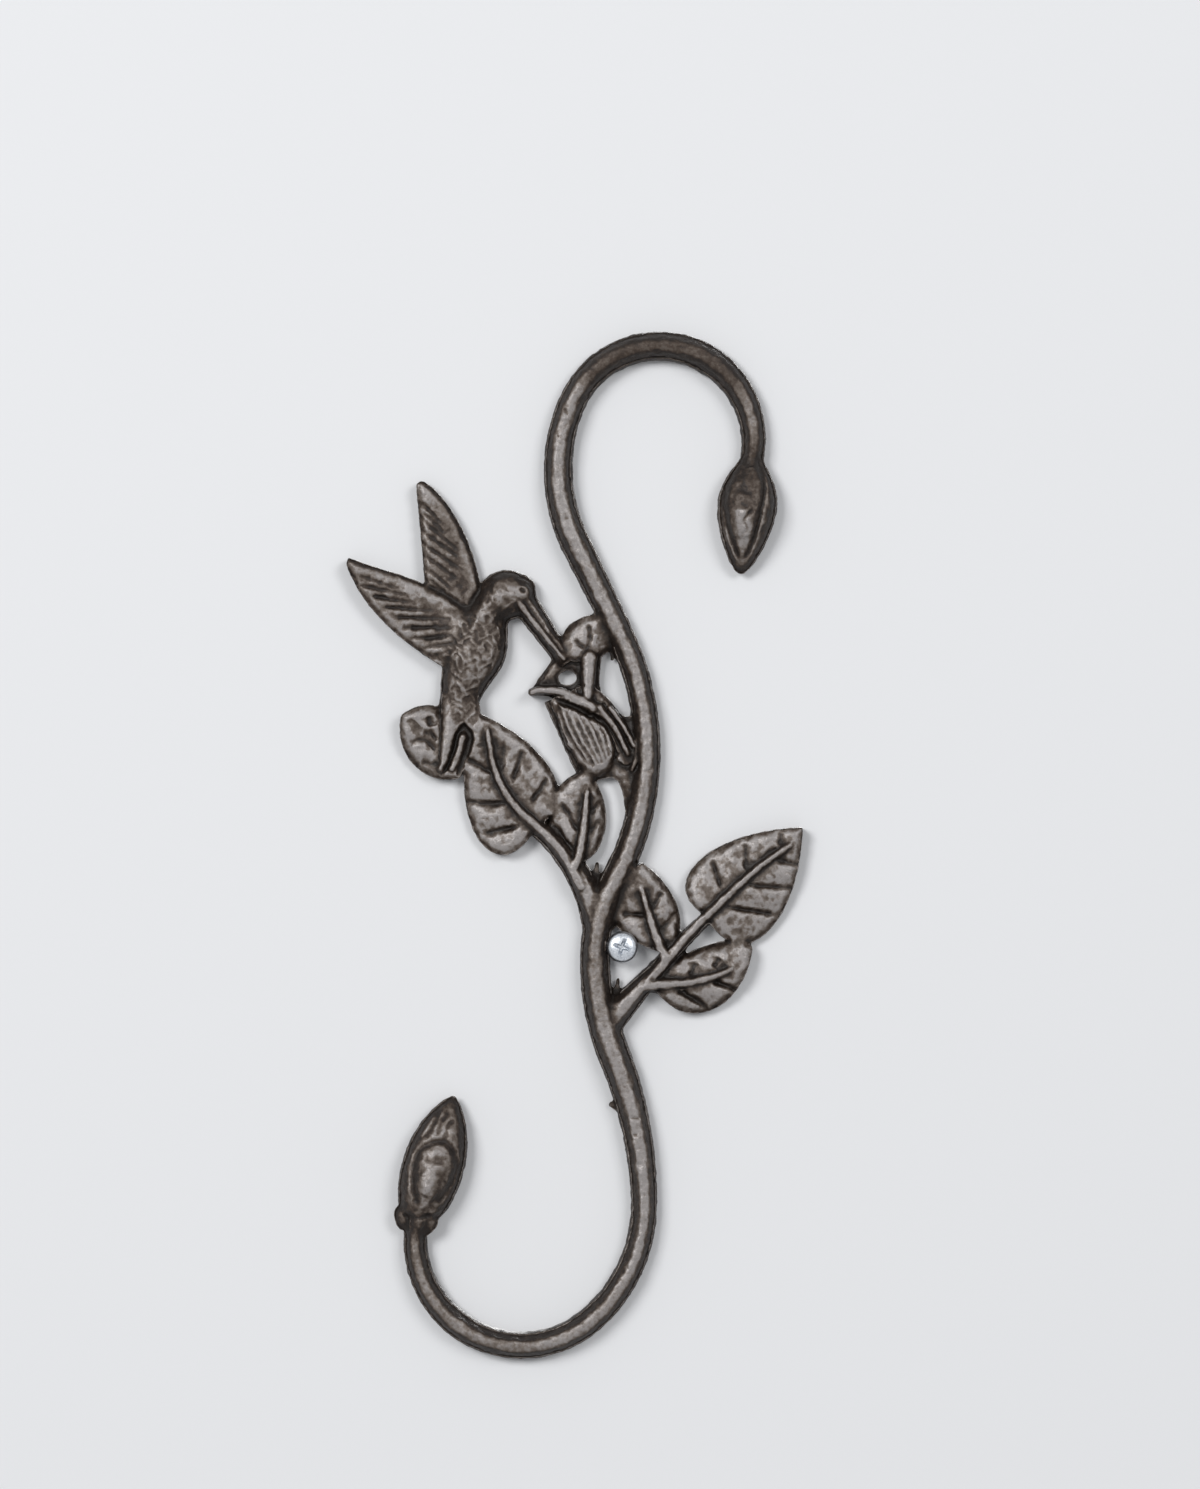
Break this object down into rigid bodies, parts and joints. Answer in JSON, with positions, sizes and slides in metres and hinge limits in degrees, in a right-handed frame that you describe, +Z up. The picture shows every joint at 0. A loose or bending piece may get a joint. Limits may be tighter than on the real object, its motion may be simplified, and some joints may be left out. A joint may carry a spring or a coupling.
{
  "type": "planter wall hook",
  "caption": "S-shaped cast wall hook with bud ends, leaves, a bell flower and a hummingbird, held by a screw, for hanging a planter.",
  "frame": {"origin": "where the axis of the wall screw meets the wall plane at the casting's flat back", "axes": "+Z up along the hook, +Y into the wall along the screw, +X to the right as seen from the front"},
  "size_m": [0.1131, 0.0389, 0.2546],
  "materials": {
    "cast_body": "dark brown satin paint, rubbed lighter on the high points",
    "screw_zinc": "bright zinc plate"
  },
  "bodies": {
    "root": {"hook_casting": "cast_body", "wall_screw": "screw_zinc"}
  },
  "joints": []
}
